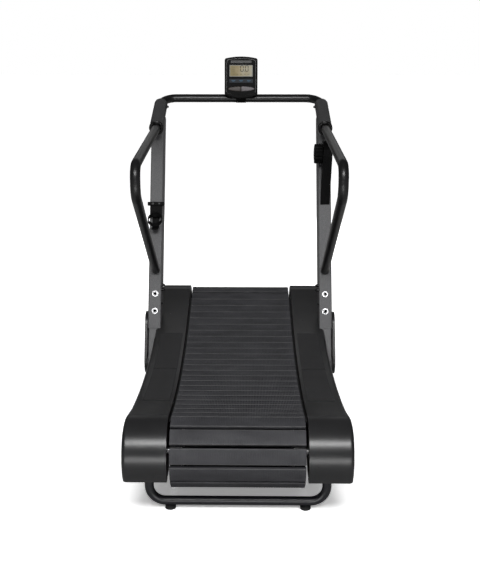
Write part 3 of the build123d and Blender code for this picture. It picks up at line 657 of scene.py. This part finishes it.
WASHER_R, WASHER_THICK, HEAD_R, HEAD_RISE, SOCKET_R = 14 * MM, 2 * MM, 10.5 * MM, 6 * MM, 7.4 * MM
WASHER_BEVEL, HEAD_SUNK, STUD_SOCKET_R = (0.5 * MM, 0.4 * MM), 0.1 * MM, 2.6 * MM
DOME_SHOULDER, DOME_STEPS, SOCKET_SUNK, SOCKET_PROUD = 0.22, 6, 0.2 * MM, 0.12 * MM
HEAD_TURNS, WASHER_TURNS = 36, 48
BOLT_BRIGHT, BOLT_SOCKET_SHADE, BOLT_BLACK = 0, 1, 2  # material indices of a bolt


def dome_profile(radius, low, rise, socket_r):
    """Domed head from its seat to the socket's rim."""
    points = [(radius, low), (radius, low + rise * DOME_SHOULDER)]
    for step in range(1, DOME_STEPS + 1):
        share = step / DOME_STEPS
        curve = DOME_SHOULDER + (1 - DOME_SHOULDER) * math.sin(share * math.pi / 2)
        points.append((radius - (radius - socket_r) * share, low + rise * curve))
    return points


def hexagon(angle, radius):
    """Share of the corner radius that a hexagon reaches at an angle."""
    third = math.pi / 3
    return math.cos(third / 2) / math.cos(angle % third - third / 2)


def add_dome_bolt(build, place, radius, low, rise, socket_r, metal_index):
    """Domed head with a near-black flat hexagon on top, painted shade standing in for the socket's recess.
    """
    build.lathe(place, dome_profile(radius, low, rise, socket_r), HEAD_TURNS, metal_index)
    top = low + rise
    # the socket is a thin proud hexagon painted near-black as the shade inside a hex recess
    socket = [(socket_r, top - SOCKET_SUNK), (socket_r, top + SOCKET_PROUD)]
    build.lathe(place, socket, HEAD_TURNS, BOLT_SOCKET_SHADE, hexagon)


def make_bolts():
    """Washered dome bolts on the uprights' rear faces, small studs on their inner faces."""
    build = Build()
    rear_face = Vector((0, -math.cos(UPRIGHT_LEAN), math.sin(UPRIGHT_LEAN)))
    for group in islands("upright_bolts"):
        low = Vector([min(v[i] for v in group) for i in range(3)])
        high = Vector([max(v[i] for v in group) for i in range(3)])
        middle = (low + high) / 2
        if high.x - low.x > 2 * HEAD_R:
            seat = min(v.dot(rear_face) for v in group)
            origin = middle + rear_face * (seat - middle.dot(rear_face))
            place = frame_at(origin, rear_face)
            inset, drop = WASHER_BEVEL
            rim = [(WASHER_R, 0), (WASHER_R, WASHER_THICK - drop), (WASHER_R - inset, WASHER_THICK)]
            build.lathe(place, rim, WASHER_TURNS, BOLT_BRIGHT)
            add_dome_bolt(build, place, HEAD_R, WASHER_THICK - HEAD_SUNK, HEAD_RISE - WASHER_THICK,
                          SOCKET_R, BOLT_BRIGHT)
        else:
            inward = Vector((-math.copysign(1, middle.x), 0, 0))
            origin = Vector((high.x if inward.x < 0 else low.x, middle.y, middle.z))
            place = frame_at(origin, inward, (0, 1, 0))
            add_dome_bolt(build, place, (high.y - low.y) / 2, 0, high.x - low.x, STUD_SOCKET_R, BOLT_BLACK)
    materials = (finishes["bolt_steel"], extras["socket_painted_shade"], extras["screw_black"])
    build.make("upright_screws", materials, "frame", ("upright_bolts",))


make_bolts()

# ---------------------------------------------------------------- head collars

SLEEVE_X, SLEEVE_Y, SLEEVE_Z = 396 * MM, 539.5 * MM, 1280.8 * MM
SLEEVE_DIRECTION = Vector((0, 260, 87.2)).normalized()
COLLAR_LONG, COLLAR_OUT, COLLAR_BAND, COLLAR_HOLE = 14 * MM, 34 * MM, 31.6 * MM, 23 * MM
LIP_LONG, LIP_STEPS, LIP_CHAMFER = 4.2 * MM, 6, (1 * MM, 0.8 * MM)
BAND_TUCK, BAND_CROWN, RING_TURNS = 0.5 * MM, 0.5 * MM, 48


def make_collars():
    """End collars of the head sleeves: two rubber lips and a bright band between."""
    build = Build()
    rise, run = LIP_CHAMFER
    for side in (-1, 1):
        base = Vector((side * SLEEVE_X, SLEEVE_Y, SLEEVE_Z)) - SLEEVE_DIRECTION * COLLAR_LONG
        place = frame_at(base, SLEEVE_DIRECTION)
        for start in (0.0, COLLAR_LONG - LIP_LONG):
            profile = [(COLLAR_HOLE, start + run), (COLLAR_HOLE + rise, start)]
            for step in range(LIP_STEPS + 1):
                angle = math.pi * (-0.5 + step / LIP_STEPS)
                profile.append((COLLAR_OUT + LIP_LONG / 2 * (math.cos(angle) - 1),
                                start + LIP_LONG / 2 * (1 + math.sin(angle))))
            profile += [(COLLAR_HOLE + rise, start + LIP_LONG), (COLLAR_HOLE, start + LIP_LONG - run)]
            ring_shell(build, place, profile, 0)
        low, high = LIP_LONG - BAND_TUCK, COLLAR_LONG - LIP_LONG + BAND_TUCK
        band = [(COLLAR_HOLE, low), (COLLAR_BAND, low), (COLLAR_BAND + BAND_CROWN, COLLAR_LONG / 2),
                (COLLAR_BAND, high), (COLLAR_HOLE, high)]
        ring_shell(build, place, band, 1)
    build.make("collar_rings", (extras["collar_black"], extras["collar_steel"]), "frame",
               ("sleeve_collars",))


def ring_shell(build, place, profile, material):
    """Closed ring: a closed profile spun about the frame's z axis."""
    count = len(profile)
    vertices, faces = [], []
    for i in range(RING_TURNS):
        angle = 2 * math.pi * i / RING_TURNS
        for radius, height in profile:
            vertices.append(place @ Vector((radius * math.cos(angle), radius * math.sin(angle), height)))
    for i in range(RING_TURNS):
        here, there = i * count, (i + 1) % RING_TURNS * count
        for j in range(count):
            k = (j + 1) % count
            faces.append((here + j, here + k, there + k, there + j))
    build.add(vertices, faces, material)


make_collars()

# ---------------------------------------------------------------- console

CONSOLE_OUT = Vector((0, -math.cos(CONSOLE_TILT), math.sin(CONSOLE_TILT)))
CONSOLE_UP = Vector((0, math.sin(CONSOLE_TILT), math.cos(CONSOLE_TILT)))
CONSOLE_TALL, FACE_DEPTH, GLASS_DEPTH = 204 * MM, 30 * MM, 28.4 * MM
WINDOW_MIDDLE, WINDOW_WIDE, WINDOW_HIGH = 134 * MM, 114.6 * MM, 56.6 * MM
BUTTON_MIDDLE, BUTTON_HALF, BUTTON_HIGH, BUTTON_TOP = 46 * MM, 66 * MM, 12 * MM, 31.5 * MM
STRIP_MIDDLE, STRIP_SIZE = (0, 178 * MM), (104 * MM, 13 * MM)
LABEL_MIDDLE, LABEL_SIZE, LABEL_COLUMNS = (0, 85 * MM), (118 * MM, 19 * MM), (-38 * MM, 0, 38 * MM)
PLATE_SUNK, PLATE_PROUD, MARK_PROUD = 0.3 * MM, 0.3 * MM, 0.6 * MM
console_back = [v.co for v in nodes["console_back"].data.vertices]
BACK_OUT = min(v.dot(CONSOLE_OUT) for v in console_back)
BASE_UP = min(v.dot(CONSOLE_UP) for v in console_back)


def on_console(x, up, out):
    """A point on the console: across, up its face, and out from its back."""
    return Vector((x, 0, 0)) + CONSOLE_UP * (BASE_UP + up) + CONSOLE_OUT * (BACK_OUT + out)


def rounded_outline(wide, high, corner, steps=5):
    """Outline of a rounded rectangle about its middle."""
    points = []
    for quarter in range(4):
        sx, sy = ((1, 1), (-1, 1), (-1, -1), (1, -1))[quarter]
        for step in range(steps + 1):
            angle = math.pi / 2 * (quarter + step / steps)
            points.append((sx * (wide / 2 - corner) + corner * math.cos(angle),
                           sy * (high / 2 - corner) + corner * math.sin(angle)))
    return points


def add_plate(build, middle, size, corner, low, high, material=0, bevel=0.3 * MM):
    """Thin plate on the console with rounded corners and a small bevel."""
    x, up = middle
    wide, tall = size
    rings = []
    for inset, out in ((0, low), (0, high - bevel), (bevel, high)):
        outline = rounded_outline(wide - 2 * inset, tall - 2 * inset, max(corner - inset, 0.1 * MM))
        rings.append([on_console(x + px, up + py, out) for px, py in outline])
    build.loft(rings, material)


SEGMENTS = ((0, 1, 0), (1, 0.5, 1), (1, -0.5, 1), (0, -1, 0), (-1, -0.5, 1), (-1, 0.5, 1))
DIGIT_WIDE, DIGIT_HIGH, STROKE = 13.5 * MM, 27 * MM, 2.9 * MM


def add_zero(build, x, up, low, high):
    """A seven-segment 0: six pointed bars."""
    for sx, sy, upright in SEGMENTS:
        cx, cy = x + sx * DIGIT_WIDE / 2, up + sy * DIGIT_HIGH / 2
        reach = (DIGIT_HIGH / 4 if upright else DIGIT_WIDE / 2) - 0.5 * MM
        half = STROKE / 2
        bar = [(-reach, 0), (-reach + half, -half), (reach - half, -half), (reach, 0), (reach - half, half),
               (-reach + half, half)]
        if upright:
            bar = [(-py, px) for px, py in bar]
        build.loft([[on_console(cx + px, cy + py, out) for px, py in bar] for out in (low, high)])


def make_display():
    """Display glass with a rim, the digits 0.0, and plain faint marks in place of print."""
    glass = Build()
    add_plate(glass, (0, WINDOW_MIDDLE), (WINDOW_WIDE, WINDOW_HIGH), 2 * MM, 26 * MM, GLASS_DEPTH,
              bevel=0.5 * MM)
    glass.make("display_glass", (finishes["window"],), "frame", ("console_window",))
    digits = Build()
    low, high = GLASS_DEPTH - 0.2 * MM, GLASS_DEPTH + 0.25 * MM
    for x in (4 * MM, 28 * MM):
        add_zero(digits, x, WINDOW_MIDDLE + 11 * MM, low, high)
    add_plate(digits, (16 * MM, WINDOW_MIDDLE - 2.5 * MM), (2.6 * MM, 2.6 * MM), 0.6 * MM, low, high)
    digits.make("display_digits", (extras["ink_dark"],), "frame")
    marks = Build()
    for i in range(5):
        size = ((11 - 2 * (i % 2)) * MM, 2.2 * MM)
        add_plate(marks, ((18 * i - 36) * MM, WINDOW_MIDDLE - 17 * MM), size, 0.8 * MM, low, high)
    for i in range(3):
        place = (-38 * MM, WINDOW_MIDDLE + (16 - 9 * i) * MM)
        add_plate(marks, place, (16 * MM, 1.4 * MM), 0.6 * MM, low, high)
    marks.make("display_marks", (extras["ink_faint"],), "frame")
    border = Build()
    outer = rounded_outline(WINDOW_WIDE - 0.4 * MM, WINDOW_HIGH - 0.4 * MM, 2 * MM)
    inner = rounded_outline(WINDOW_WIDE - 7 * MM, WINDOW_HIGH - 6 * MM, 1.5 * MM)
    frame_band(border, outer, inner, (0, WINDOW_MIDDLE), low, high)
    border.make("display_border", (extras["glass_rim"],), "frame")


def frame_band(build, outer, inner, middle, low, high):
    """Flat closed band between two equal outlines."""
    x, up = middle
    rings = []
    for outline, out in ((outer, low), (outer, high), (inner, high), (inner, low)):
        rings.append([on_console(x + px, up + py, out) for px, py in outline])
    build.loft(rings + [rings[0]], caps=False)


def face_outline(inset, steps=9):
    """Arched panel outline on the console face, inset from the housing's edge."""
    half, corner = 81.5 * MM - inset, 10 * MM
    top, sag = CONSOLE_TALL - inset, 9 * MM
    points = []
    for step in range(steps + 1):
        x = half - 5 * MM - (half - 5 * MM) * 2 * step / steps
        points.append((x, top - sag * (x / half) ** 2))
    for angle in range(100, 171, 14):
        a = math.radians(angle)
        points.append((-half + corner + corner * math.cos(a), top - sag - corner + corner * math.sin(a)))
    low = 30 * MM
    for step in range(steps + 1):
        a = math.pi * (1 + step / steps)
        points.append((half * math.cos(a), low + 14 * MM * math.sin(a)))
    for angle in range(10, 81, 14):
        a = math.radians(angle)
        points.append((half - corner + corner * math.cos(a), top - sag - corner + corner * math.sin(a)))
    return points


def make_console_trim():
    """Fine ridge round the panel, blank top strip, and the label strip with plain marks."""
    ridge = Build()
    rings = []
    for inset, out in ((9 * MM, FACE_DEPTH - 0.3 * MM), (9.3 * MM, FACE_DEPTH + 0.6 * MM),
                       (10.5 * MM, FACE_DEPTH + 0.6 * MM), (10.8 * MM, FACE_DEPTH - 0.3 * MM)):
        rings.append([on_console(x, up, out) for x, up in face_outline(inset)])
    ridge.loft(rings + [rings[0]], caps=False)
    ridge.make("console_ridge", (extras["ridge_grey"],), "frame")
    sunk, proud, raised = FACE_DEPTH - PLATE_SUNK, FACE_DEPTH + PLATE_PROUD, FACE_DEPTH + MARK_PROUD
    strips = Build()
    add_plate(strips, STRIP_MIDDLE, STRIP_SIZE, 3 * MM, sunk, proud)
    strips.make("console_strip", (extras["strip_black"],), "frame")
    label = Build()
    add_plate(label, LABEL_MIDDLE, LABEL_SIZE, 3 * MM, sunk, proud)
    for x in LABEL_COLUMNS:
        add_plate(label, (x, 86.5 * MM), (18 * MM, 3.2 * MM), 1.2 * MM, FACE_DEPTH, raised, 1)
        add_plate(label, (x, 81.5 * MM), (11 * MM, 1.8 * MM), 0.8 * MM, FACE_DEPTH, raised, 1)
    label.make("console_label", (extras["label_blue"], extras["mark_blue"]), "frame")


def make_buttons():
    """Half-lens buttons with a crowned top and a rounded rim."""
    for side, name in ((-1, "left"), (1, "right")):
        outline = []
        for step in range(21):
            angle = math.pi / 2 - math.pi * step / 20
            outline.append((max(BUTTON_HALF * math.cos(angle), 0), BUTTON_HIGH * math.sin(angle)))
        outline = [(side * (1 * MM + x * 0.985), y) for x, y in outline]
        outline.append((side * 1 * MM, 0))
        middle_x = side * BUTTON_HALF * 0.42
        rings = []
        for share, out in ((1.0, 22 * MM), (1.0, BUTTON_TOP - 1.6 * MM), (0.97, BUTTON_TOP - 0.8 * MM),
                           (0.9, BUTTON_TOP - 0.35 * MM), (0.7, BUTTON_TOP - 0.1 * MM), (0.35, BUTTON_TOP)):
            rings.append([on_console(middle_x + (x - middle_x) * share, BUTTON_MIDDLE + y * share, out)
                          for x, y in outline])
        build = Build()
        build.loft(rings)
        slot_name = "button_dark" if side < 0 else "button_grey"
        build.make("key_" + name, (finishes[slot_name],), "button_" + name, ("button_" + name,))


make_display()
make_console_trim()
make_buttons()

# ---------------------------------------------------------------- resistance dial

DIAL_R, DIAL_LOBES, LOBE_DEEP = 46 * MM, 12, 0.045
DIAL_X_FACE, DIAL_X_BACK, STEM_LONG, STEM_R = 345 * MM, 385 * MM, 34 * MM, 6 * MM
DIAL_TURNS, STEM_TURNS = 144, 24


def make_dial():
    """Lobed knob with rounded edges, a mid groove and a raised pointer."""
    centre = joint_at["dial_turn"]
    place = frame_at((DIAL_X_BACK, centre.y, centre.z), (-1, 0, 0), (0, 1, 0))
    depth = DIAL_X_BACK - DIAL_X_FACE

    def lobes(angle, radius):
        wave = 0.5 - 0.5 * math.cos(DIAL_LOBES * angle)
        return 1 - LOBE_DEEP * 2 * wave ** 3 if radius > 0.8 * DIAL_R else 1.0

    rim, face = depth - 1.4 * MM, depth
    profile = [(DIAL_R * 0.94, 0), (DIAL_R * 0.985, 1.5 * MM), (DIAL_R, 4 * MM), (DIAL_R, 17 * MM),
               (DIAL_R * 0.955, 18 * MM), (DIAL_R * 0.955, 20 * MM), (DIAL_R, 21 * MM),
               (DIAL_R, rim - 6 * MM), (DIAL_R * 0.985, rim - 2.5 * MM), (DIAL_R * 0.92, rim - 0.6 * MM),
               (DIAL_R * 0.8, rim), (DIAL_R * 0.64, rim), (DIAL_R * 0.61, rim - 1.6 * MM),
               (DIAL_R * 0.58, rim - 1.6 * MM), (DIAL_R * 0.55, face - 0.6 * MM),
               (DIAL_R * 0.5, face), (0.5 * MM, face)]
    build = Build()
    build.lathe(place, profile, DIAL_TURNS, 0, lobes)
    pointer = [(-1.6 * MM, rim - 0.6 * MM), (-1.1 * MM, rim + 0.8 * MM), (1.1 * MM, rim + 0.8 * MM),
               (1.6 * MM, rim - 0.6 * MM)]
    rings = [[place @ Vector((t, r, h)) for t, h in pointer] for r in (30 * MM, 43 * MM)]
    build.loft(rings, 1)
    stem = [(STEM_R, -STEM_LONG), (STEM_R, 0.5 * MM)]
    build.lathe(place, stem, STEM_TURNS, 2)
    build.make("dial_knob", (finishes["moulded_black"], extras["mark_blue"], finishes["axle_steel"]), "dial",
               ("resistance_dial",))


make_dial()
